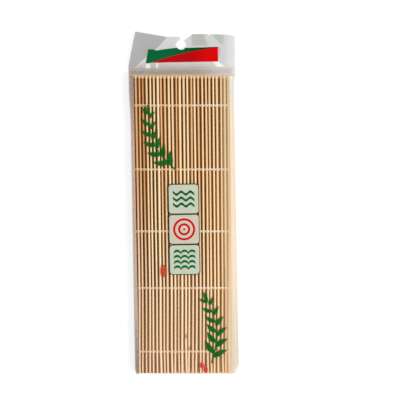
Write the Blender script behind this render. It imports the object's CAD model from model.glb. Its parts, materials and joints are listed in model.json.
import json
import math
import random

import bmesh
import bpy
import numpy as np
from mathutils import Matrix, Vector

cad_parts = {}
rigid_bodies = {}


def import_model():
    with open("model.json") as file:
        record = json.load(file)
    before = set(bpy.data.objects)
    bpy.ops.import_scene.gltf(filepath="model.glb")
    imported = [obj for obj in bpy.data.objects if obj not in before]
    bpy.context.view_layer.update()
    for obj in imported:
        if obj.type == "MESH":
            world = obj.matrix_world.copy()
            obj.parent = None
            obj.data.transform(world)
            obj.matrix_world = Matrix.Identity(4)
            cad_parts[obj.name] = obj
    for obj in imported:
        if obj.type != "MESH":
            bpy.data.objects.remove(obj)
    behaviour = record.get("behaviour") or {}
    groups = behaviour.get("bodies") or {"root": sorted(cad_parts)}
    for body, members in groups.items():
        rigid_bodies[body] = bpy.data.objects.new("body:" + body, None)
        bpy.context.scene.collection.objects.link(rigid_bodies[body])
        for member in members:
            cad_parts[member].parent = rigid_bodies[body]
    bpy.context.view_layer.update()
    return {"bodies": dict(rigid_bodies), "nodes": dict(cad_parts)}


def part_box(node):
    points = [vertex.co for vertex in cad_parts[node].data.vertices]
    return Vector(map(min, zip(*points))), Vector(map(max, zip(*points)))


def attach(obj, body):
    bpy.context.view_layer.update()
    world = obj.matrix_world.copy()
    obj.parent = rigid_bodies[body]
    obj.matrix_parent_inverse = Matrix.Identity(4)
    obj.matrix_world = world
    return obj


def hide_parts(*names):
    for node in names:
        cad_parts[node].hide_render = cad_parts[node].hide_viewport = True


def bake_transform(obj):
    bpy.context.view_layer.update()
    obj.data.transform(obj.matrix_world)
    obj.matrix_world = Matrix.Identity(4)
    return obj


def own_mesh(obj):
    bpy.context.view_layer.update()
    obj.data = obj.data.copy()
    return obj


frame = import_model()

mm = 0.001
print("frame loaded:", len(frame["nodes"]), "nodes")

# Sizes of the mat, read from the frame
slatsLow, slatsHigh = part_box("slats_bottom")
firstLow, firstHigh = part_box("slats_top_01")
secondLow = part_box("slats_top_02")[0]
threadLow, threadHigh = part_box("bindings_top_01")
pitch = (secondLow.x - firstLow.x) / 2
slatWidth = firstHigh.x - firstLow.x - pitch
slatLength = slatsHigh.y - slatsLow.y
slatHeight = slatsHigh.z - slatsLow.z
crownRadius = slatWidth / 2
shoulder = slatHeight - crownRadius
slatCount = round((slatsHigh.x - slatsLow.x - slatWidth) / pitch) + 1
leftFold = slatsLow.x + crownRadius - pitch / 2
rightFold = slatsHigh.x - crownRadius + pitch / 2
layerBase = {
    "bottom": slatsLow.z,
    "middle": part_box("slats_middle")[0].z,
    "top": firstLow.z,
}
topBodies = sorted(name for name in frame["bodies"] if name.startswith("top_"))

# Sizes of the bag, read from the frame
bagLow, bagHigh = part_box("bag_front")
headerLow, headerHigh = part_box("bag_header")
headerY = headerLow.y


# Small helpers for the modelling steps

def clearSelection():
    if bpy.context.object and bpy.context.object.mode != "OBJECT":
        bpy.ops.object.mode_set(mode="OBJECT")
    bpy.ops.object.select_all(action="DESELECT")


def pickOnly(piece):
    clearSelection()
    piece.select_set(True)
    bpy.context.view_layer.objects.active = piece


def settle(piece):
    pickOnly(piece)
    bpy.ops.object.transform_apply(location=True, rotation=True, scale=True)


def finishModifiers(piece):
    pickOnly(piece)
    for modifier in list(piece.modifiers):
        bpy.ops.object.modifier_apply(modifier=modifier.name)


def readPoints(piece):
    flat = np.empty(len(piece.data.vertices) * 3)
    piece.data.vertices.foreach_get("co", flat)
    return flat.reshape(-1, 3)


def writePoints(piece, points):
    piece.data.vertices.foreach_set("co", points.ravel())
    piece.data.update()


def paintPoints(piece, name, values):
    attribute = piece.data.attributes.get(name) or piece.data.attributes.new(name, "FLOAT", "POINT")
    attribute.data.foreach_set("value", np.full(len(attribute.data), values, dtype=np.float32))


def copyPiece(pattern):
    piece = pattern.copy()
    piece.data = pattern.data.copy()
    bpy.context.collection.objects.link(piece)
    return piece


def joinPieces(pieces, name):
    clearSelection()
    for piece in pieces:
        piece.select_set(True)
    bpy.context.view_layer.objects.active = pieces[0]
    if len(pieces) > 1:
        bpy.ops.object.join()
    pieces[0].name = name
    pieces[0].data.name = name
    return pieces[0]


def removePiece(piece):
    bpy.data.objects.remove(piece, do_unlink=True)


def giveMaterial(piece, material):
    piece.data.materials.clear()
    piece.data.materials.append(material)


def smoothStep(values, start, end):
    t = np.clip((values - start) / (end - start), 0, 1)
    return t * t * (3 - 2 * t)


# Colour codes are written as in a picture, and shaders work in linear light
def colour(code):
    parts = [int(code[i:i + 2], 16) / 255 for i in (0, 2, 4)]
    return (*(p / 12.92 if p <= 0.04045 else ((p + 0.055) / 1.055) ** 2.4 for p in parts), 1)


# A shader value that works in sums
class Flow:
    def __init__(self, shader, socket):
        self.shader = shader
        self.socket = socket

    def calc(self, operation, *others):
        values = dict(enumerate((self, *others)))
        return self.shader.node("ShaderNodeMath", {"operation": operation}, values)

    def __add__(self, other):
        return self.calc("ADD", other)

    def __sub__(self, other):
        return self.calc("SUBTRACT", other)

    def __rsub__(self, other):
        return self.shader.node("ShaderNodeMath", {"operation": "SUBTRACT"}, {0: other, 1: self})

    def __mul__(self, other):
        return self.calc("MULTIPLY", other)

    def __truediv__(self, other):
        return self.calc("DIVIDE", other)

    def __pow__(self, other):
        return self.calc("POWER", other)

    __radd__ = __add__
    __rmul__ = __mul__


class Shader:
    def __init__(self, name):
        self.material = bpy.data.materials.new(name)
        self.material.use_nodes = True
        self.tree = self.material.node_tree
        self.tree.nodes.clear()
        self.surface = self.tree.nodes.new("ShaderNodeBsdfPrincipled")
        output = self.tree.nodes.new("ShaderNodeOutputMaterial")
        self.tree.links.new(self.surface.outputs[0], output.inputs[0])

    def feed(self, socket, value):
        if isinstance(value, Flow):
            self.tree.links.new(value.socket, socket)
        else:
            socket.default_value = colour(value) if isinstance(value, str) else value

    def node(self, kind, settings, inputs, output=0):
        made = self.tree.nodes.new(kind)
        stops = settings.pop("stops", None)
        for key, value in settings.items():
            setattr(made, key, value)
        if stops:
            while len(made.color_ramp.elements) < len(stops):
                made.color_ramp.elements.new(0.5)
            for element, (position, code) in zip(made.color_ramp.elements, stops):
                element.position = position
                element.color = colour(code)
        for key, value in inputs.items():
            self.feed(made.inputs[key], value)
        return Flow(self, made.outputs[output])

    def set(self, **inputs):
        for key, value in inputs.items():
            self.feed(self.surface.inputs[key.replace("_", " ")], value)

    def attribute(self, name):
        return self.node("ShaderNodeAttribute", {"attribute_name": name}, {}, "Fac")

    def place(self):
        return self.node("ShaderNodeTexCoord", {}, {}, "Object")

    def axis(self, letter):
        return self.node("ShaderNodeSeparateXYZ", {}, {0: self.place()}, letter)

    def noise(self, scale, detail=2.0, roughness=0.5):
        stretched = self.node("ShaderNodeMapping", {}, {"Vector": self.place(), "Scale": scale})
        inputs = {"Vector": stretched, "Scale": 1.0, "Detail": detail, "Roughness": roughness}
        return self.node("ShaderNodeTexNoise", {}, inputs, "Fac")

    def ramp(self, value, stops):
        return self.node("ShaderNodeValToRGB", {"stops": stops}, {"Fac": value}, "Color")

    def fade(self, value, low, high):
        settings = {"interpolation_type": "SMOOTHSTEP", "clamp": True}
        inputs = {"Value": value, "From Min": low, "From Max": high}
        return self.node("ShaderNodeMapRange", settings, inputs)

    # One within the reach to either side of zero, none beyond
    def near(self, value, reach):
        return self.fade(value.calc("ABSOLUTE"), reach, reach - 0.2)

    def mix(self, factor, first, second):
        return self.node("ShaderNodeMix", {"data_type": "RGBA"}, {0: factor, 6: first, 7: second}, 2)

    def bump(self, height, strength, distance):
        inputs = {"Height": height, "Strength": strength, "Distance": distance}
        return self.node("ShaderNodeBump", {}, inputs)


# Slats: one pattern, then a copy for each slat with its own width, bow, lean and tone
slatLook = {
    "sides": 20,
    "stations": 24,
    "endBevel": 0.16 * mm,
    "widths": {"bottom": (0.98, 1.1), "middle": (1.02, 1.12), "top": (0.74, 1.02)},
    "crowd": {"bottom": -0.75 * mm, "middle": 0.75 * mm, "top": 0},
    "smoke": {"bottom": 0.3, "middle": 1.0, "top": 0.0},
    "waves": (1.0, 2.6),
    "bow": 0.23 * mm,
    "bowShares": (0.3, 1.0),
    "lean": 0.2 * mm,
    "stray": 0.2 * mm,
    "jointShare": 0.45,
    "jointPlaces": (-0.45, 0.45),
    "jointSwell": 0.07,
    "trim": 0.3 * mm,
    "fan": 0.03,
    "sway": 0.8 * mm,
    "splay": 0.45 * mm,
    "skew": 0.018,
    "inset": 0.5 * mm,
    "heights": (0.95, 1.0),
    "wobble": 0.03,
    "jointReach": 1.6 * mm,
    "lastDip": 1.6 * mm,
    "tones": (-0.25, 1.2, 0.7),
    "leftShade": 0.22,
    "rightShine": 0.25,
    "paleEnd": (2.3 * mm, 1.5 * mm),
    "lit": (6 * mm, 34 * mm),
}


# Bamboo: split fibre, a waxy crown, brown flanks and a paler flat side
def bambooMaterial():
    shader = Shader("split_bamboo")
    tone = shader.attribute("tone")
    crown = shader.attribute("crown")
    streaks = shader.noise((1500, 22, 1500), 3, 0.6)
    fibres = shader.noise((7000, 160, 7000), 2, 0.6)
    stains = shader.noise((160, 26, 160), 2, 0.5)
    skin = shader.ramp(tone, [(0.0, "D8985C"), (0.35, "F3C088"), (0.65, "FEDFAB"), (1.0, "FFF1C4")])
    skin = shader.mix(shader.fade(streaks, 0.52, 0.8) * 0.4, skin, "CC8F50")
    skin = shader.mix(shader.fade(stains, 0.6, 0.78) * 0.35, skin, "EBB088")
    along = shader.attribute("along")
    skin = shader.mix(shader.fade(along, 0.25, -0.3) * 0.6, skin, "FFF1CE")
    skin = shader.mix(shader.fade(along, -0.34, -0.5) * 0.4, skin, "FFECDC")
    skin = shader.mix(shader.fade(shader.axis("X"), slatLook["lit"][0], slatsHigh.x) * 0.65, skin, "FFF3C6")
    lit = shader.fade(shader.axis("X"), *slatLook["lit"]) * (1 - shader.fade(along, 0, 0.35) * 0.6)
    flank = shader.ramp(tone, [(0.0, "743206"), (0.5, "9E5414"), (1.0, "BC7430")])
    flank = shader.mix(lit * 0.75, flank, "ECA45A")
    flat = shader.mix(fibres * 0.5, "D9AE72", "B07C42")
    flat = shader.mix(shader.attribute("smoke") * (0.86 - lit * 0.55), flat, "521E02")
    high = shader.fade(crown - lit * 0.1, 0.44, 0.94)
    low = shader.fade(crown, -0.2, -0.5)
    paint = shader.mix(high, flank, skin)
    paint = shader.mix(low, paint, flat)
    paint = shader.mix(fibres * 0.16, paint, "A8743F")
    ends = shader.fade(along * slatLength, *(slatLength / 2 - reach for reach in slatLook["paleEnd"]))
    paint = shader.mix(ends * 0.85, paint, "FFE9BE")
    joint = shader.attribute("joint")
    paint = shader.mix(shader.fade(joint + streaks * 0.3, 0.7, 1.1) * 0.7, paint, "9A6434")
    shader.set(Base_Color=paint, Roughness=0.62 - high * 0.2 + fibres * 0.1, Specular_IOR_Level=0.12,
               Normal=shader.bump(fibres + streaks * 0.6, 0.35, 0.05 * mm))
    return shader.material


cottonLook = {
    "twistAngle": 0.8,
    "twistScale": 900.0,
    "lit": (-6 * mm, 26 * mm),
}


# Cotton: a pale twisted thread
def cottonMaterial():
    shader = Shader("cotton_thread")
    angle = (0, 0, cottonLook["twistAngle"])
    twist = shader.node("ShaderNodeMapping", {}, {"Vector": shader.place(), "Rotation": angle})
    inputs = {"Vector": twist, "Scale": cottonLook["twistScale"], "Distortion": 1.5, "Detail": 1.0}
    plies = shader.node("ShaderNodeTexWave", {}, inputs, "Fac")
    fluff = shader.noise((6000, 6000, 6000), 2, 0.6)
    lit = shader.fade(shader.axis("X"), *cottonLook["lit"])
    paint = shader.mix(plies * 0.35 + fluff * 0.3, "FFF0D6", "E4C294")
    paint = shader.mix(lit * 0.85, paint, "FFFCF4")
    shader.set(Base_Color=paint, Roughness=0.9, Normal=shader.bump(plies + fluff * 0.5, 0.6, 0.06 * mm))
    return shader.material


plasticIndex = 1.49

# How much of the film shows in each zone, and where the zones set in and are full, in millimetres
filmLook = {
    "clearAlpha": 0.001,
    "hazeAlpha": 0.004,
    "footAlpha": 0.07,
    "rightAlpha": 0.4,
    "edgeAlpha": 0.13,
    "tipAlpha": 0.07,
    "leftWall": 0.42,
    "rightWall": 0.3,
    "headSlope": 0.46,
    "slackSlope": 0.12,
    "roughness": 0.14,
    "spread": 2.4,
    "leftTurn": (0.3, -0.3),
    "seamTurn": (-0.9, -3.0),
    "rightTurn": (-0.2, 0.8),
    "paleTurn": (-2.6, 0.8),
    "hazeTurn": (-9, -4),
    "tipTurn": (-2.4, -1.4),
    "headTurn": (-0.35, 0.05),
    "glowTurn": (1.2, 0.3),
    "slopeTurn": (2.2, 0.8),
    "footTurn": (110, 0),
    "slackTurn": (8, 38),
    "spreadTurn": (10, -90),
    "hazeFade": (-90, -20),
    "sideTurns": [(60, 118), (-5, -50), (-60, -115)],
    "warmTurns": [(70, 118), (-30, -115)],
}


# Clear film: nearly invisible where it lies tight, milky where it turns down at the sides
def filmMaterial():
    shader = Shader("clear_film")
    x = shader.axis("X")
    y = shader.axis("Y")
    level = y + x * slatLook["skew"]
    fanned = x + (0.5 - y / slatLength) * (slatLook["fan"] * (slatsHigh.x - leftFold))
    cloud = shader.noise((38, 11, 38), 3, 0.55)
    streaks = shader.noise((320, 9, 320), 2, 0.5)

    def turn(value, edge, reach):
        return shader.fade(value, edge + reach[0] * mm, edge + reach[1] * mm)

    left = turn(x, slatsLow.x, filmLook["leftTurn"])
    seam = turn(x, slatsLow.x, filmLook["seamTurn"])
    right = turn(fanned, slatsHigh.x, filmLook["rightTurn"])
    widened = fanned + turn(y, 0, filmLook["spreadTurn"]) * (filmLook["spread"] * mm)
    pale = turn(widened, slatsHigh.x, filmLook["paleTurn"])
    haze = turn(fanned, slatsHigh.x, filmLook["hazeTurn"]) * turn(y, 0, filmLook["hazeFade"])
    tips = turn(level, slatsHigh.y, filmLook["tipTurn"])
    head = turn(level, slatsHigh.y, filmLook["headTurn"])
    glow = turn(level, slatsHigh.y, filmLook["glowTurn"])
    foot = turn(y, slatsLow.y, filmLook["footTurn"])
    slack = turn(x, 0, filmLook["slackTurn"])
    slopeFrom, slopeTo = filmLook["slopeTurn"]
    rise = shader.fade(level, slatsHigh.y + slopeFrom * mm, headerY + slopeTo * mm)
    sideHead, sideMiddle, sideFoot = (turn(y, 0, reach) for reach in filmLook["sideTurns"])
    warmHead, warmFoot = (turn(y, 0, reach) for reach in filmLook["warmTurns"])

    side = shader.mix(sideHead, "D6A286", "8E6644")
    side = shader.mix(sideMiddle, side, "CCAC90")
    side = shader.mix(sideFoot, side, "7A6E66")
    side = shader.mix(seam * 0.65, side, "8A7C72")
    slope = shader.mix(rise, "B09C80", "DCCDB8")
    slope = shader.mix(slack * 0.8, slope, "F4EFE6")
    slope = shader.mix(glow * 0.7, slope, "E8AC68")
    warm = shader.mix(warmHead, "FBE5C6", "EEE8DA")
    warm = shader.mix(warmFoot, warm, "E8DCC6")
    paint = shader.mix(haze, "FFC28E", "FFE2B4")
    paint = shader.mix(pale, paint, "FFE8C0")
    paint = shader.mix(left, paint, side)
    paint = shader.mix(right, paint, warm)
    paint = shader.mix(head, paint, slope)

    veil = cloud * filmLook["hazeAlpha"] + foot * filmLook["footAlpha"]
    veil = veil + pale * filmLook["rightAlpha"] + tips * filmLook["tipAlpha"] + haze * filmLook["edgeAlpha"]
    wall = left * filmLook["leftWall"] + right * filmLook["rightWall"]
    wall = wall * (1 - head) + head * (filmLook["headSlope"] - slack * filmLook["slackSlope"])
    alpha = veil * (1 - head) + filmLook["clearAlpha"] + wall * (0.94 + streaks * 0.12)
    shader.set(Base_Color=paint, Alpha=alpha, Roughness=filmLook["roughness"], IOR=plasticIndex,
               Normal=shader.bump(cloud + streaks * 0.3, 0.25, 0.3 * mm))
    return shader.material


# The back film lies flat and has the same milky look as the seams
def backFilmMaterial():
    shader = Shader("back_film")
    cloud = shader.noise((60, 20, 60), 3, 0.55)
    shader.set(Base_Color="DCD2C4", Alpha=0.12 + cloud * 0.1, Roughness=0.16, IOR=plasticIndex,
               Normal=shader.bump(cloud, 0.3, 0.3 * mm))
    return shader.material


# Doubled film of the header: grey, with paler and darker facets between its creases
def headerMaterial():
    shader = Shader("header_film")
    facet = shader.attribute("facet")
    cloud = shader.noise((50, 34, 50), 2, 0.5)
    paint = shader.ramp(facet + cloud * 0.06 - 0.03, [(0.0, "787977"), (0.2, "8A8B88"), (0.35, "AAABA6"),
                                                     (0.66, "CCCECB"), (0.8, "DEDFDC"), (1.0, "FFFFFD")])
    warm = shader.fade(shader.axis("Y"), headerY + 4.5 * mm, headerY)
    foot = shader.mix(shader.fade(shader.axis("X"), 12 * mm, 30 * mm), "9E958A", "C9BEB0")
    foot = shader.mix(shader.fade(facet, 0.6, 1.0), foot, "FFFAF2")
    paint = shader.mix(warm * 0.85, paint, foot)
    shader.set(Base_Color=paint, Alpha=0.41 + cloud * 0.04, Roughness=0.2, IOR=plasticIndex,
               Normal=shader.bump(cloud, 0.2, 0.2 * mm))
    return shader.material


inkGloss = {"Roughness": 0.38, "Specular_IOR_Level": 0.04}


def inkMaterial(name, main, shade, alpha=1.0):
    shader = Shader(name)
    wash = shader.noise((500, 500, 500), 3, 0.6)
    shader.set(Base_Color=shader.mix(wash, main, shade), Alpha=alpha, **inkGloss)
    return shader.material


# Two inks that meet on a slanting, slightly curved line
def bandMaterial(split, ghostStart):
    shader = Shader("ink_band")
    x = shader.axis("X") / mm
    rise = shader.axis("Y") / mm - x * split[1] - x * x * split[2]
    wash = shader.noise((300, 300, 300), 3, 0.6)
    edge = shader.fade(rise, split[0] - 0.15, split[0] + 0.15)
    shade = shader.fade(x, -12, 24)
    green = shader.mix(shade, shader.mix(wash, "035A30", "046636"), "04381A")
    red = shader.mix(wash, "A40610", "C00408")
    red = shader.mix(shader.fade(x, 6, 24) * 0.8, red, "DC0204")
    ghost = shader.fade(x, ghostStart - 0.1, ghostStart + 0.1)
    faint = shader.fade(shader.axis("Y") / mm, 133, 140) * 0.3
    shader.set(Base_Color=shader.mix(ghost, shader.mix(edge, red, green), "FFA6C4"),
               Alpha=1 - ghost * (1 - faint), **inkGloss)
    return shader.material


# A pale panel with rings, waves or scales in one ink, drawn in millimetres from its middle
def panelMaterial(name, ground, ink, centre, ornament):
    shader = Shader(name)
    u = (shader.axis("X") - centre[0]) / mm
    v = (shader.axis("Y") - centre[1]) / mm
    wash = shader.noise((180, 180, 180), 3, 0.6)
    if ornament == "rings":
        reach = (u * u + v * v) ** 0.5
        lines = reach.calc("PINGPONG", 2.0)
        mask = shader.fade(lines, 0.95, 0.8) * shader.fade(reach, 9.4, 9.2)
    elif ornament == "waves":
        row = v + (u * 0.85).calc("SINE") * 1.1
        lines = (row + 2.4).calc("PINGPONG", 2.4)
        mask = shader.fade(lines, 1.25, 1.4) * shader.near(row, 6.6) * shader.near(u, 8.8)
    else:
        column = u.calc("PINGPONG", 3.0)
        row = v - (9.6 - column * column) ** 0.5 + 2.2
        lines = row.calc("PINGPONG", 2.1)
        mask = shader.fade(lines, 1.05, 1.2) * shader.near(row, 7.6) * shader.near(u, 8.8)
    paper = shader.mix(wash, ground, "B8BDAA")
    shader.set(Base_Color=shader.mix(mask, paper, ink), **inkGloss)
    return shader.material


bamboo = bambooMaterial()
cotton = cottonMaterial()
clearFilm = filmMaterial()
backFilm = backFilmMaterial()
headerFilm = headerMaterial()
print("materials made")


def modelSlat():
    clearSelection()
    bpy.ops.mesh.primitive_circle_add(vertices=slatLook["sides"], radius=crownRadius, fill_type="NGON",
                                      location=(0, -slatLength / 2, shoulder),
                                      rotation=(math.radians(90), 0, 0))
    slat = bpy.context.object
    settle(slat)
    bpy.ops.object.mode_set(mode="EDIT")
    bpy.ops.mesh.select_all(action="SELECT")
    bpy.ops.mesh.bisect(plane_co=(0, 0, 0), plane_no=(0, 0, -1), clear_outer=True)
    bpy.ops.mesh.select_all(action="SELECT")
    step = slatLength / slatLook["stations"]
    for station in range(slatLook["stations"]):
        bpy.ops.mesh.extrude_region_move(TRANSFORM_OT_translate={"value": (0, step, 0)})
    bpy.ops.mesh.select_mode(type="EDGE")
    bpy.ops.mesh.select_all(action="DESELECT")
    shape = bmesh.from_edit_mesh(slat.data)
    for edge in shape.edges:
        edge.select = all(abs(abs(v.co.y) - slatLength / 2) < 1e-6 for v in edge.verts)
    shape.select_flush_mode()
    bmesh.update_edit_mesh(slat.data)
    bpy.ops.mesh.bevel(offset=slatLook["endBevel"], segments=2, affect="EDGES")
    bpy.ops.mesh.select_all(action="SELECT")
    bpy.ops.mesh.normals_make_consistent(inside=False)
    bpy.ops.object.mode_set(mode="OBJECT")
    bpy.ops.object.shade_smooth_by_angle(angle=math.radians(40))
    paintPoints(slat, "crown", (readPoints(slat)[:, 2] - shoulder) / crownRadius)
    return slat


# The top third's free slats draw together a little towards the foot
def drawIn(x, y):
    share = (x - leftFold) / (rightFold - leftFold)
    narrowed = leftFold + (x - leftFold) * (1 - slatLook["fan"] * (0.5 - y / slatLength))
    narrowed = narrowed + slatLook["inset"] * np.clip(1 - share, 0, 1) ** 6
    return narrowed - slatLook["sway"] * smoothStep(y, -40 * mm, -115 * mm)


# The mat is a little out of square: towards the right, everything on it lies lower
def skewed(x, y):
    return y - slatLook["skew"] * x


# Between its folds, each third's slats have slipped a little to one side
def slipAside(x, layer):
    span = (2 * x - leftFold - rightFold) / (rightFold - leftFold)
    return x + slatLook["crowd"][layer] * (1 - span ** 14)


def slatCentre(index):
    return slatsLow.x + crownRadius + index * pitch


def placeSlat(pattern, index, layer, dice):
    slat = copyPiece(pattern)
    points = readPoints(slat)
    along = points[:, 1] / slatLength
    wave = dice.uniform(*slatLook["waves"])
    phase = dice.uniform(0, 2 * math.pi)
    width = dice.uniform(*slatLook["widths"][layer])
    width = width + slatLook["wobble"] * np.sin(wave * 2.3 * math.pi * along - phase)
    jointPlace = dice.uniform(*slatLook["jointPlaces"]) if dice.random() < slatLook["jointShare"] else 9
    joint = np.exp(-((along - jointPlace) * slatLength / slatLook["jointReach"]) ** 2)
    x = points[:, 0] * (width + slatLook["jointSwell"] * joint)
    z = points[:, 2] * dice.uniform(*slatLook["heights"])
    free = 0.35 + 0.65 * (2 * np.abs(along)) ** 2
    bow = slatLook["bow"] * dice.uniform(*slatLook["bowShares"])
    x += bow * free * np.sin(wave * math.pi * along + phase)
    x += slatLook["lean"] * dice.uniform(-1, 1) * along + slatLook["stray"] * dice.uniform(-1, 1)
    x += slatLook["splay"] * dice.uniform(-1, 1) * smoothStep(along, -0.4, -0.5)
    trimmed = slatLook["trim"] * dice.random()
    y = points[:, 1] * (1 - trimmed / slatLength) + dice.uniform(-0.5, 0.5) * trimmed
    if layer == "middle":
        x, z = -x, slatHeight - z
    x = slipAside(x + slatCentre(index), layer)
    if layer == "top":
        x = drawIn(x, y)
    if layer == "top" and index == slatCount - 1:
        y -= slatLook["lastDip"] * smoothStep(along, 0.45, 0.5)
    writePoints(slat, np.stack([x, skewed(x, y), z + layerBase[layer]], axis=1))
    tone = dice.triangular(*slatLook["tones"]) - slatLook["leftShade"] * math.exp(-index / 4)
    tone = tone + slatLook["rightShine"] * math.exp((index - slatCount) / 3)
    paintPoints(slat, "tone", min(1, max(0, tone)))
    paintPoints(slat, "joint", joint)
    paintPoints(slat, "along", along)
    paintPoints(slat, "smoke", slatLook["smoke"][layer] * min(1, 0.25 + phase / (2 * math.pi)))
    return slat


def buildSlats(pattern, layer, first, last, body, dice):
    copies = [placeSlat(pattern, index, layer, dice) for index in range(first, last + 1)]
    piece = joinPieces(copies, "bamboo_" + body)
    giveMaterial(piece, bamboo)
    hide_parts("slats_" + body.replace("_third", ""))
    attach(piece, body)
    return piece


slatDice = random.Random(41)
slatPattern = modelSlat()
buildSlats(slatPattern, "bottom", 0, slatCount - 1, "bottom_third", slatDice)
buildSlats(slatPattern, "middle", 0, slatCount - 1, "middle_third", slatDice)
for number, body in enumerate(topBodies):
    buildSlats(slatPattern, "top", 2 * number, 2 * number + 1, body, slatDice)
removePiece(slatPattern)
print("slats placed:", 3 * slatCount)


# Bindings: in every row two strands cross between the slats, one over and one under
threadLook = {
    "rows": 5,
    "width": 1.6 * mm,
    "radius": 0.33 * mm,
    "cross": 0.7 * mm,
    "shifts": (0, 1.7, -2.1, -1.7, 0.4),
    "bulge": 0.45 * mm,
    "knotRadius": 0.4 * mm,
    "knotRoom": 0.3 * mm,
}
rowSpan = threadHigh.y - threadLow.y - threadLook["width"]
rowPlaces = [threadLow.y + threadLook["width"] / 2 + rowSpan * row / (threadLook["rows"] - 1) + shift * mm
             for row, shift in enumerate(threadLook["shifts"])]

# Places of a strand beside one slat: across, share of the crossing, height, in millimetres
overSlat = [(-1.38, 1, 0.85), (-1.15, 1, 1.25), (-0.8, 1, 1.58), (-0.4, 1, 1.76), (0, 0.95, 1.8),
            (0.45, 0.8, 1.78), (0.9, 0.5, 1.66), (1.25, 0.15, 1.48), (1.5, -0.2, 1.22)]
underSlat = [(-1.42, -0.6, 0.9), (-1.4, -0.9, 0.5), (-1.25, -1, 0.16), (-0.8, -0.8, 0.05), (0, 0, 0.05),
             (0.8, 0.8, 0.05), (1.25, 1, 0.12), (1.5, 1, 0.5)]


# One strand past the slats first to last: over a slat when the sum of its number and the turn is even
def strandPath(first, last, turn, row, layer):
    enters = underSlat[-1] if (first + turn) % 2 == 0 else overSlat[-1]
    places = [(slatCentre(first) / mm + enters[0] - pitch / mm, enters[1], enters[2])]
    for index in range(first, last + 1):
        for across, share, height in overSlat if (index + turn) % 2 == 0 else underSlat:
            places.append((slatCentre(index) / mm + across, share, height))
    x, share, z = np.array(places).T
    x, y, z = x * mm, row + share * threadLook["cross"], z * mm
    if layer == "middle":
        x, z = leftFold + rightFold - x, slatHeight - z
    x = slipAside(x, layer)
    if layer == "top":
        x = drawIn(x, y)
    return np.stack([x, skewed(x, y), z + layerBase[layer]], axis=1)


def strandsToMesh(name, paths):
    curve = bpy.data.curves.new(name, "CURVE")
    curve.dimensions = "3D"
    curve.bevel_depth = threadLook["radius"]
    curve.bevel_resolution = 1
    curve.use_fill_caps = True
    for path in paths:
        spline = curve.splines.new("POLY")
        spline.points.add(len(path) - 1)
        spline.points.foreach_set("co", np.column_stack([path, np.ones(len(path))]).ravel())
    strands = bpy.data.objects.new(name, curve)
    bpy.context.collection.objects.link(strands)
    pickOnly(strands)
    bpy.ops.object.convert(target="MESH")
    strands = bpy.context.object
    bpy.ops.object.shade_smooth()
    giveMaterial(strands, cotton)
    return strands


def modelKnot(centre):
    clearSelection()
    bpy.ops.mesh.primitive_ico_sphere_add(subdivisions=3, radius=threadLook["knotRadius"], location=centre)
    knot = bpy.context.object
    settle(knot)
    points = readPoints(knot)
    offset = points - np.array(centre)
    turn = np.arctan2(offset[:, 1], offset[:, 0]) * 2 + offset[:, 2] / threadLook["knotRadius"] * 3
    writePoints(knot, np.array(centre) + offset * (0.92 + 0.12 * np.sin(turn))[:, None])
    bpy.ops.object.shade_smooth()
    giveMaterial(knot, cotton)
    return knot


def buildBindings(layer, first, last, body, knotSide=0):
    paths = [strandPath(first, last, turn, row, layer) for row in rowPlaces for turn in (0, 1)]
    parts = [strandsToMesh("thread", paths)]
    if knotSide:
        edge = slatCentre(last if knotSide > 0 else first)
        for row in rowPlaces:
            x = edge + knotSide * (pitch / 2 + threadLook["knotRoom"])
            x = drawIn(x, row) if layer == "top" else x
            parts.append(modelKnot((x, skewed(x, row), layerBase[layer] + shoulder)))
    piece = joinPieces(parts, "thread_" + body)
    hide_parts("bindings_" + body.replace("_third", ""))
    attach(piece, body)
    return piece


buildBindings("bottom", 0, slatCount - 1, "bottom_third", -1)
buildBindings("middle", 0, slatCount - 1, "middle_third")
for number, body in enumerate(topBodies):
    buildBindings("top", 2 * number, 2 * number + 1, body, 1 if number == len(topBodies) - 1 else 0)


# At each fold the strands run on round the outside, from one layer to the next
def buildFoldThreads(name, x, outward, low, high, highBody):
    paths = []
    for row in rowPlaces:
        for share, lowEnd, highEnd in ((1, low[0], high[0]), (-0.2, low[1], high[1])):
            t = np.linspace(0, 1, 9)
            y = np.full_like(t, row + share * threadLook["cross"])
            across = x + outward * threadLook["bulge"] * np.sin(math.pi * t)
            if highBody in topBodies:
                across = across + (drawIn(x, row) - x) * t
            paths.append(np.stack([across, skewed(x, y), lowEnd + (highEnd - lowEnd) * t], axis=1))
    piece = strandsToMesh(name, paths)
    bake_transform(piece)


# Heights at which the two strands leave a third that lies flat side down, and one that lies upside down
upright = (underSlat[-1][2] * mm, overSlat[-1][2] * mm)
turned = (slatHeight - upright[0], slatHeight - upright[1])
buildFoldThreads("fold_threads_right", rightFold, 1, [layerBase["bottom"] + z for z in upright],
                 [layerBase["middle"] + z for z in turned], "middle_third")
buildFoldThreads("fold_threads_left", leftFold, -1, [layerBase["middle"] + z for z in turned],
                 [layerBase["top"] + z for z in upright], topBodies[0])
print("bindings strung:", threadLook["rows"], "rows")


# The bag: a front film drawn over the mat, a flat back film and a creased header
bagLook = {
    "film": 0.06 * mm,
    "seamZ": 0.42 * mm,
    "topZ": 8.0 * mm,
    "leftWall": (0.15 * mm, 1.0 * mm),
    "rightWall": (0.7 * mm, 2.9 * mm),
    "leftCorner": 3 * mm,
    "rightCorner": 8 * mm,
    "footDrop": 0.5 * mm,
    "footRoom": 0.6 * mm,
    "flare": (1.0 * mm, 1.4 * mm),
    "footBow": 0.35 * mm,
    "slopeRoom": 0.3 * mm,
    "ripple": 0.05 * mm,
    "pull": 0.22 * mm,
    "pullReach": 16 * mm,
    "backSlack": 0.05 * mm,
    "cells": (110, 260),
    "backCells": (60, 140),
}
seamLeft = bagLow.x
seamRight = bagHigh.x
footY = slatsLow.y - bagLook["footRoom"]
slopeStart = slatsHigh.y + bagLook["slopeRoom"]


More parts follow.
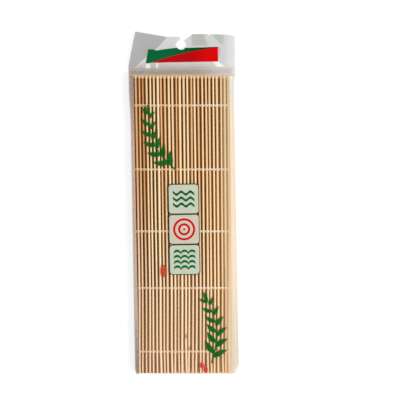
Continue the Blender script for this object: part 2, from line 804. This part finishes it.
# The bag widens a little where the mat no longer draws it in
def seamWest(y):
    return seamLeft - bagLook["flare"][0] * smoothStep(y, 80 * mm, 112 * mm)


def seamEast(y):
    return seamRight + bagLook["flare"][1] * smoothStep(y, 108 * mm, headerY)


# Height of the front film at each place
def filmHeight(x, y):
    inLeft = x - seamWest(y)
    inRight = seamEast(y) - x
    left = smoothStep(inLeft, *bagLook["leftWall"])
    right = smoothStep(inRight, *bagLook["rightWall"])
    start = skewed(x, slopeStart)
    head = 1 - smoothStep(y, start, headerY)
    crest = bagLook["topZ"] - bagLook["footDrop"] * smoothStep(y, slatsLow.y, footY)
    along = (y - slatsLow.y) / slatLength
    waves = np.sin(x / (9 * mm) + 3 * along) * np.sin(y / (31 * mm) + 0.7)
    waves = waves + 0.6 * np.sin(x / (5.2 * mm) - y / (47 * mm))
    waves = waves + 0.5 * np.sin(y / (12 * mm) + x / (15 * mm))
    crest = crest + bagLook["ripple"] * (waves + 2)
    pull = bagLook["pull"] * smoothStep(y, start - bagLook["pullReach"], start) * head
    crest = crest + pull * (1 + np.sin(x / (3.1 * mm) + np.sin(x / (11 * mm)) * 2))
    return bagLook["seamZ"] + (crest - bagLook["seamZ"]) * left * right * head


def cornerInset(y, radius):
    rise = np.clip(footY + radius - y, 0, radius)
    return radius - np.sqrt(radius * radius - rise * rise)


def modelSheet(name, cells):
    clearSelection()
    bpy.ops.mesh.primitive_grid_add(x_subdivisions=cells[0], y_subdivisions=cells[1], size=2)
    sheet = bpy.context.object
    sheet.name = name
    sheet.data.name = name
    settle(sheet)
    return sheet


# Spreads a square grid over the bag's outline, with more rows near its edges
def spreadOverBag(points, headY):
    across = 1.5 * points[:, 0] - 0.5 * points[:, 0] ** 3
    along = 1.25 * points[:, 1] - 0.25 * points[:, 1] ** 3
    y = footY + (headY - footY) * (along + 1) / 2
    y = y - bagLook["footBow"] * (1 - across ** 2) * smoothStep(y, footY + 12 * mm, footY)
    west = seamWest(y) + cornerInset(y, bagLook["leftCorner"])
    east = seamEast(y) - cornerInset(y, bagLook["rightCorner"])
    x = west + (east - west) * (across + 1) / 2
    return x, skewed(x * smoothStep(y, 0, footY), y)


def thicken(sheet, thickness, offset):
    solidify = sheet.modifiers.new("thickness", "SOLIDIFY")
    solidify.thickness = thickness
    solidify.offset = offset
    finishModifiers(sheet)
    bpy.ops.object.shade_smooth_by_angle(angle=math.radians(50))


def flattenWithRoll(piece):
    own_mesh(piece)


frontFilm = modelSheet("bag_front_film", bagLook["cells"])
x, y = spreadOverBag(readPoints(frontFilm), headerY)
writePoints(frontFilm, np.stack([x, y, filmHeight(x, y)], axis=1))
thicken(frontFilm, bagLook["film"], -1)
giveMaterial(frontFilm, clearFilm)
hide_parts("bag_front")
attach(frontFilm, "bag")
flattenWithRoll(frontFilm)

rearFilm = modelSheet("bag_back_film", bagLook["backCells"])
x, y = spreadOverBag(readPoints(rearFilm), headerY)
slack = bagLook["backSlack"] * (1 + np.sin(x / (6 * mm) + y / (23 * mm)) * np.sin(y / (9 * mm)))
writePoints(rearFilm, np.stack([x, y, bagLook["film"] + slack], axis=1))
thicken(rearFilm, bagLook["film"], -1)
giveMaterial(rearFilm, backFilm)
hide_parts("bag_back")
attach(rearFilm, "bag")
print("bag films draped")


# Header: its outline, hole and tear, and the creases that part its facets
headerLook = {
    "cells": (260, 90),
    "film": 0.2 * mm,
    "hole": (0, 145.4),
    "holeRadius": 4.0,
    "tear": [(0.1, 0.0), (0.95, 10.5), (-1.6, 10.5)],
    "topEdge": [(-36.9, 156.5), (-11.2, 151.9), (-1.6, 152.0), (1.2, 149.6), (2.2, 148.9), (9.5, 154.0),
                (21.5, 154.0), (22.7, 152.5), (23.8, 153.8), (35.7, 153.0), (43.4, 151.8)],
    "west": ((-43.0, 128.8), (-36.9, 156.5)),
    "overlap": 0.3 * mm,
    "tone": 0.66,
    "rimShade": 0.08,
    "softRidge": 0.3 * mm,
    "curl": 1.4 * mm,
    "sag": 0.15 * mm,
    "lift": 0.2 * mm,
    "riseRange": (2.6 * mm, -0.1 * mm, 3 * mm),
}

# Facets of the creased film: corners counted anticlockwise in millimetres, tone, softness of the edge
facets = [
    {"corners": [(-70, 127.2), (-38.1, 127.2), (-19.2, 143.2), (-11.2, 151.9), (-11.2, 170), (-70, 170)],
     "tone": 0.2, "soft": 0.3},
    {"corners": [(-38.0, 127.6), (-36.4, 127.6), (-18.2, 143.0), (-19.2, 143.2)], "tone": 0.8, "soft": 0.6},
    {"corners": [(8.6, 144.5), (21.8, 144.5), (16.4, 160), (8.6, 160)], "tone": 0.3, "soft": 1.1},
    {"corners": [(26.8, 150.8), (32.1, 145.4), (33.6, 145.4), (36.4, 160), (26.8, 160)],
     "tone": 0.36, "soft": 0.4},
    {"corners": [(36.5, 120), (60, 120), (60, 170), (36.5, 170)], "tone": 0.8, "soft": 3.0},
    {"corners": [(24.7, 132.4), (29.0, 127.2), (35.3, 127.2), (29.5, 131.2)], "tone": 1.2, "soft": 0.5},
    {"corners": [(-29.0, 126.8), (-25.4, 126.8), (-25.4, 130.2), (-29.0, 130.2)], "tone": 1.0, "soft": 0.5},
    {"corners": [(-20.6, 126.8), (-19.0, 126.8), (-19.0, 130.8), (-20.6, 130.8)], "tone": 1.0, "soft": 0.4},
]

# Creases: two places in millimetres on each, and how steeply the film rises beside it
creases = [
    {"ends": ((-11.6, 151.9), (-37.6, 127.5)), "rise": 0.05},
    {"ends": ((8.6, 144.0), (10.0, 154.0)), "rise": 0.035},
    {"ends": ((16.4, 154.0), (23.0, 143.0)), "rise": 0.035},
    {"ends": ((26.8, 151.0), (33.0, 144.6)), "rise": 0.03},
    {"ends": ((36.0, 154.0), (31.0, 127.5)), "rise": 0.04},
]


# Signed distance past a facet's nearest edge, negative inside it, in metres
def outsideFacet(corners, x, y):
    reach = np.full_like(x, -1.0)
    for (ax, ay), (bx, by) in zip(corners, corners[1:] + corners[:1]):
        length = math.hypot(bx - ax, by - ay)
        reach = np.maximum(reach, ((x - ax * mm) * (by - ay) - (y - ay * mm) * (bx - ax)) / length)
    return reach


def headerTone(x, y):
    tone = headerLook["tone"] + 0 * x
    for facet in facets:
        soft = facet["soft"] * mm
        share = smoothStep(outsideFacet(facet["corners"], x, y), soft, -soft)
        tone = tone + (facet["tone"] - tone) * share
    rim = headerRim(x) - y
    return tone - headerLook["rimShade"] * smoothStep(rim, 1.2 * mm, 0)


# Where the header's torn top edge runs
def headerRim(x):
    edgeX, edgeY = np.array(headerLook["topEdge"]).T * mm
    return np.interp(x, edgeX, edgeY)


def headerHeight(x, y):
    rise = 0 * x
    for crease in creases:
        (ax, ay), (bx, by) = crease["ends"]
        length = math.hypot(bx - ax, by - ay)
        distance = ((x - ax * mm) * (by - ay) - (y - ay * mm) * (bx - ax)) / length
        rise = rise + crease["rise"] * (np.sqrt(distance ** 2 + headerLook["softRidge"] ** 2))
    lifted = smoothStep(y, headerY, headerY + 6 * mm)
    curl = headerLook["curl"] * smoothStep(x, -20 * mm, -40 * mm)
    curl = curl * smoothStep(y, headerY + 8 * mm, headerHigh.y)
    sag = headerLook["sag"] * np.sin(x / (7 * mm)) * np.sin(y / (5 * mm))
    level, lowest, highest = headerLook["riseRange"]
    folds = np.clip(rise - level, lowest, highest)
    return bagLook["seamZ"] + lifted * (folds + curl + sag + headerLook["lift"])


def cutHole(sheet):
    clearSelection()
    holeX, holeY = (value * mm for value in headerLook["hole"])
    bpy.ops.mesh.primitive_cylinder_add(vertices=64, radius=headerLook["holeRadius"] * mm, depth=20 * mm,
                                        location=(holeX, holeY, 0))
    punch = bpy.context.object
    settle(punch)
    clearSelection()
    bpy.ops.mesh.primitive_cylinder_add(vertices=3, radius=1, depth=20 * mm, location=(0, 0, 0))
    tear = bpy.context.object
    settle(tear)
    points = readPoints(tear)
    corners = np.array(headerLook["tear"]) * mm
    order = np.argsort(np.arctan2(points[:, 1], points[:, 0]) % (2 * math.pi))
    for rank, index in enumerate(order):
        points[index, :2] = corners[(rank // 2 + 1) % 3] + np.array([holeX, holeY])
    writePoints(tear, points)
    pickOnly(tear)
    bpy.ops.object.mode_set(mode="EDIT")
    bpy.ops.mesh.select_all(action="SELECT")
    bpy.ops.mesh.normals_make_consistent(inside=False)
    bpy.ops.object.mode_set(mode="OBJECT")
    for cutter in (punch, tear):
        cut = sheet.modifiers.new("cut", "BOOLEAN")
        cut.operation = "DIFFERENCE"
        cut.solver = "EXACT"
        cut.object = cutter
    finishModifiers(sheet)
    removePiece(punch)
    removePiece(tear)


header = modelSheet("bag_header_film", headerLook["cells"])
points = readPoints(header)
up = (points[:, 1] + 1) / 2
foot = headerY - headerLook["overlap"]
(lowX, lowY), (highX, highY) = headerLook["west"]
west = np.interp(foot + up * (highY * mm - foot), [lowY * mm, highY * mm], [lowX * mm, highX * mm])
east = headerLook["topEdge"][-1][0] * mm
x = west + (east - west) * (points[:, 0] + 1) / 2
y = foot + up * (headerRim(x) - foot)
writePoints(header, np.stack([x, y, headerHeight(x, y)], axis=1))
thicken(header, headerLook["film"], -1)
cutHole(header)
points = readPoints(header)
paintPoints(header, "facet", headerTone(points[:, 0], points[:, 1]))
giveMaterial(header, headerFilm)
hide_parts("bag_header")
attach(header, "bag")
print("header creased and punched")


# Printing: thin inks that follow the film
inkLift = 0.03 * mm
inkThickness = 0.03 * mm
greenInk = inkMaterial("ink_green", "01580E", "027426", 0.68)
redInk = inkMaterial("ink_red", "D8262A", "F0564C", 0.7)
sealInk = inkMaterial("ink_seal", "CE3C1C", "DE5E34", 0.5)
lineInk = inkMaterial("ink_line", "23402A", "2E4C33")


def layInk(piece, name, material, height, lift=inkLift):
    points = readPoints(piece)
    points[:, 2] += height(points[:, 0], points[:, 1]) + lift
    writePoints(piece, points)
    thicken(piece, inkThickness, 1)
    giveMaterial(piece, material)
    piece.name = name
    piece.data.name = name
    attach(piece, "bag")
    return piece


bandLook = {
    "cells": (180, 36),
    "bottom": [(-28.8, 130.9), (-24.0, 131.2), (29.6, 131.4), (31.8, 131.4)],
    "top": [(-26.7, 142.1), (-22.5, 141.9), (-19.9, 140.9), (-14, 141.9), (-4.3, 143.0), (3.0, 142.9),
            (29.8, 143.3), (31.8, 143.3)],
    "ghost": 29.7,
    "split": (138.15, 0.2264, -0.002285),
}
band = modelSheet("band", bandLook["cells"])
points = readPoints(band)
u = (points[:, 0] + 1) / 2
v = (points[:, 1] + 1) / 2
bottomX, bottomY = np.array(bandLook["bottom"]).T * mm
topX, topY = np.array(bandLook["top"]).T * mm
lowX = bottomX[0] + u * (bottomX[-1] - bottomX[0])
highX = topX[0] + u * (topX[-1] - topX[0])
x = lowX + (highX - lowX) * v
y = np.interp(lowX, bottomX, bottomY) * (1 - v) + np.interp(highX, topX, topY) * v
writePoints(band, np.stack([x, y, 0 * x], axis=1))
layInk(band, "print_header_band", bandMaterial(bandLook["split"], bandLook["ghost"]), headerHeight)
cutHole(band)
pickOnly(band)
bpy.ops.object.shade_smooth_by_angle(angle=math.radians(50))


panelLook = {
    "x": -0.2,
    "size": (24.9, 24.3),
    "cells": (28, 28),
    "corner": 2.6,
    "line": 0.62,
    "panels": [
        {"y": 20.6, "ground": "C9CEBA", "ink": "00572F", "ornament": "waves"},
        {"y": -3.8, "ground": "DCC0B2", "ink": "BE0A0A", "ornament": "rings"},
        {"y": -28.2, "ground": "C8CDB8", "ink": "00612F", "ornament": "scales"},
    ],
}


def modelPanel(width, height, corner, centre):
    panel = modelSheet("panel", panelLook["cells"])
    points = readPoints(panel)
    x = points[:, 0] * width / 2
    y = points[:, 1] * height / 2
    overX = np.abs(x) - (width / 2 - corner)
    overY = np.abs(y) - (height / 2 - corner)
    inCorner = (overX > 0) & (overY > 0)
    reach = np.hypot(np.maximum(overX, 0), np.maximum(overY, 0))
    square = np.maximum(overX, overY)
    shrink = np.where(inCorner, square / np.maximum(reach, 1e-9), 1)
    x = np.where(inCorner, np.sign(x) * (width / 2 - corner + overX * shrink), x)
    y = np.where(inCorner, np.sign(y) * (height / 2 - corner + overY * shrink), y)
    writePoints(panel, np.stack([x + centre[0], y + centre[1], 0 * x], axis=1))
    return panel


for number, panel in enumerate(panelLook["panels"]):
    width, height = (side * mm for side in panelLook["size"])
    corner = panelLook["corner"] * mm
    line = panelLook["line"] * mm
    centre = (panelLook["x"] * mm, panel["y"] * mm)
    frameInk = modelPanel(width, height, corner, centre)
    layInk(frameInk, f"print_panel_line_{number + 1}", lineInk, filmHeight)
    flattenWithRoll(frameInk)
    face = modelPanel(width - 2 * line, height - 2 * line, corner - line / 2, centre)
    paper = panelMaterial(f"ink_panel_{number + 1}", panel["ground"], panel["ink"], centre,
                          panel["ornament"])
    layInk(face, f"print_panel_{number + 1}", paper, filmHeight, inkLift + 2 * inkThickness)
    flattenWithRoll(face)


# Sprigs: a curved stem with leaves in pairs that shrink towards the tip
sprigLook = [
    {"name": "print_sprig_upper", "start": (-6.0, 44.0), "end": (-27.0, 92.0), "bow": 7.0, "pairs": 6,
     "leaf": 13.0, "spread": 0.75},
    {"name": "print_sprig_lower", "start": (20.0, -112.0), "end": (17.0, -60.0), "bow": -6.0, "pairs": 6,
     "leaf": 13.5, "spread": 0.85},
]

# Shares of a leaf's or a stem's length, and the small height by which each leaf lies above the last
leafLook = {
    "cells": (10, 6),
    "halfWidth": 0.2,
    "curve": 0.06,
    "first": 0.12,
    "run": 0.8,
    "shrink": 0.45,
    "stagger": 0.03,
    "tip": 0.97,
    "tipSize": 0.6,
    "step": 0.004 * mm,
    "stemCells": (40, 2),
    "stemWidth": 1.0 * mm,
}


def modelLeaf(root, angle, length, step):
    leaf = modelSheet("leaf", leafLook["cells"])
    points = readPoints(leaf)
    t = (points[:, 0] + 1) / 2
    half = length * leafLook["halfWidth"] * np.sin(math.pi * t ** 0.8) ** 0.9 * (1 - 0.25 * t)
    x = t * length
    y = points[:, 1] * half + leafLook["curve"] * length * np.sin(math.pi * t)
    writePoints(leaf, np.stack([root[0] + x * math.cos(angle) - y * math.sin(angle),
                                root[1] + x * math.sin(angle) + y * math.cos(angle),
                                0 * x + leafLook["step"] * step], axis=1))
    return leaf


def modelStem(place, width):
    stem = modelSheet("stem", leafLook["stemCells"])
    points = readPoints(stem)
    t = (points[:, 0] + 1) / 2
    spine = place(t)
    ahead = place(t + 0.01) - spine
    normal = np.stack([-ahead[:, 1], ahead[:, 0]], axis=1) / np.linalg.norm(ahead, axis=1)[:, None]
    flat = spine + normal * (points[:, 1] * width / 2 * (1.1 - 0.7 * t))[:, None]
    writePoints(stem, np.column_stack([flat, np.zeros(len(flat))]))
    return stem


def modelSprig(look):
    start = np.array(look["start"]) * mm
    end = np.array(look["end"]) * mm
    run = end - start
    aside = np.array([-run[1], run[0]]) / np.linalg.norm(run)

    def place(t):
        t = np.atleast_1d(t)
        return start + run * t[:, None] + aside * (look["bow"] * mm * np.sin(math.pi * t))[:, None]

    parts = [modelStem(place, leafLook["stemWidth"])]
    for pair in range(look["pairs"]):
        t = leafLook["first"] + leafLook["run"] * pair / (look["pairs"] - 1)
        root = place(t)[0]
        ahead = place(t + 0.02)[0] - root
        heading = math.atan2(ahead[1], ahead[0])
        length = look["leaf"] * mm * (1 - leafLook["shrink"] * t)
        for side in (-1, 1):
            base = place(t + leafLook["stagger"] * side)[0]
            parts.append(modelLeaf(base, heading + side * look["spread"], length, len(parts)))
    tipLength = look["leaf"] * mm * leafLook["tipSize"]
    parts.append(modelLeaf(place(leafLook["tip"])[0], heading, tipLength, len(parts)))
    return joinPieces(parts, look["name"])


for look in sprigLook:
    sprig = modelSprig(look)
    layInk(sprig, look["name"], greenInk, filmHeight)
    flattenWithRoll(sprig)


# A plain oval and a pair of red buds
def modelDisc(centre, width, height):
    clearSelection()
    bpy.ops.mesh.primitive_circle_add(vertices=36, radius=0.5, fill_type="TRIFAN",
                                      location=(centre[0] * mm, centre[1] * mm, 0))
    disc = bpy.context.object
    disc.scale = (width * mm, height * mm, 1)
    settle(disc)
    return disc


discLook = {
    "seal": {"centre": (-17.4, -37.2), "size": (5.2, 10.0)},
    "buds": {"centres": [(12.2, -113.5), (15.2, -117.0)], "size": (3.6, 4.6)},
}
seal = modelDisc(discLook["seal"]["centre"], *discLook["seal"]["size"])
layInk(seal, "print_seal", sealInk, filmHeight)
flattenWithRoll(seal)
buds = [modelDisc(centre, *discLook["buds"]["size"]) for centre in discLook["buds"]["centres"]]
buds = joinPieces(buds, "buds")
layInk(buds, "print_buds", redInk, filmHeight)
flattenWithRoll(buds)
print("prints laid on the film")


# Stage, light and camera
stageLook = {
    "floorSize": 4.0,
    "floorZ": -0.4 * mm,
    "floorColour": (0.42, 0.42, 0.42, 1),
    "floorGlow": 0.66,
    "worldStrength": 0.6,
    "lamps": [
        {"name": "key_lamp", "place": (0.9, -0.3, 0.9), "size": 0.9, "power": 11.9},
        {"name": "fill_lamp", "place": (-0.6, -0.2, 0.9), "size": 0.8, "power": 1.2},
    ],
}


def floorMaterial():
    shader = Shader("floor_white")
    rays = shader.tree.nodes.new("ShaderNodeLightPath")
    seen = Flow(shader, rays.outputs["Is Camera Ray"])
    glossy = Flow(shader, rays.outputs["Is Glossy Ray"])
    through = Flow(shader, rays.outputs["Is Transmission Ray"])
    glow = seen + glossy + through
    shader.set(Base_Color=stageLook["floorColour"], Roughness=0.9, Emission_Color=(1, 1, 1, 1))
    shader.feed(shader.surface.inputs["Emission Strength"], glow * stageLook["floorGlow"])
    return shader.material


clearSelection()
bpy.ops.mesh.primitive_plane_add(size=stageLook["floorSize"], location=(0, 0, stageLook["floorZ"]))
floor = bpy.context.object
floor.name = "floor"
settle(floor)
giveMaterial(floor, floorMaterial())

world = bpy.data.worlds.new("studio")
bpy.context.scene.world = world
world.use_nodes = True
worldTree = world.node_tree
background = worldTree.nodes["Background"]
rays = worldTree.nodes.new("ShaderNodeLightPath")
strength = worldTree.nodes.new("ShaderNodeMix")
strength.inputs["A"].default_value = stageLook["worldStrength"]
strength.inputs["B"].default_value = 1.0
worldTree.links.new(rays.outputs["Is Camera Ray"], strength.inputs["Factor"])
worldTree.links.new(strength.outputs["Result"], background.inputs["Strength"])
background.inputs["Color"].default_value = (1, 1, 1, 1)


def addLamp(name, place, size, power):
    lamp = bpy.data.lights.new(name, "AREA")
    lamp.shape = "DISK"
    lamp.size = size
    lamp.energy = power
    holder = bpy.data.objects.new(name, lamp)
    bpy.context.collection.objects.link(holder)
    holder.location = place
    x, y, z = place
    holder.rotation_euler = (math.atan2(math.hypot(x, y), z), 0, math.atan2(x, -y))


for lamp in stageLook["lamps"]:
    addLamp(lamp["name"], lamp["place"], lamp["size"], lamp["power"])

cameraLook = {
    "height": 1.2,
    "millimetresPerPixel": 0.805,
    "frame": 400,
    "middle": (184.3, 224.6),
    "leanDegrees": 1.03,
}
lens = bpy.data.cameras.new("camera")
camera = bpy.data.objects.new("camera", lens)
bpy.context.collection.objects.link(camera)
lean = math.radians(cameraLook["leanDegrees"])
half = cameraLook["frame"] / 2
right = (half - cameraLook["middle"][0]) * cameraLook["millimetresPerPixel"] * mm
above = (cameraLook["middle"][1] - half) * cameraLook["millimetresPerPixel"] * mm
camera.location = (right * math.cos(lean) + above * math.sin(lean),
                   above * math.cos(lean) - right * math.sin(lean), cameraLook["height"])
camera.rotation_euler = (0, 0, -lean)
viewWidth = cameraLook["frame"] * cameraLook["millimetresPerPixel"] * mm
lens.sensor_width = 36
lens.lens = lens.sensor_width * (cameraLook["height"] - bagLook["topZ"]) / viewWidth
bpy.context.scene.camera = camera
bpy.context.scene.view_settings.view_transform = "Standard"
print("stage set")
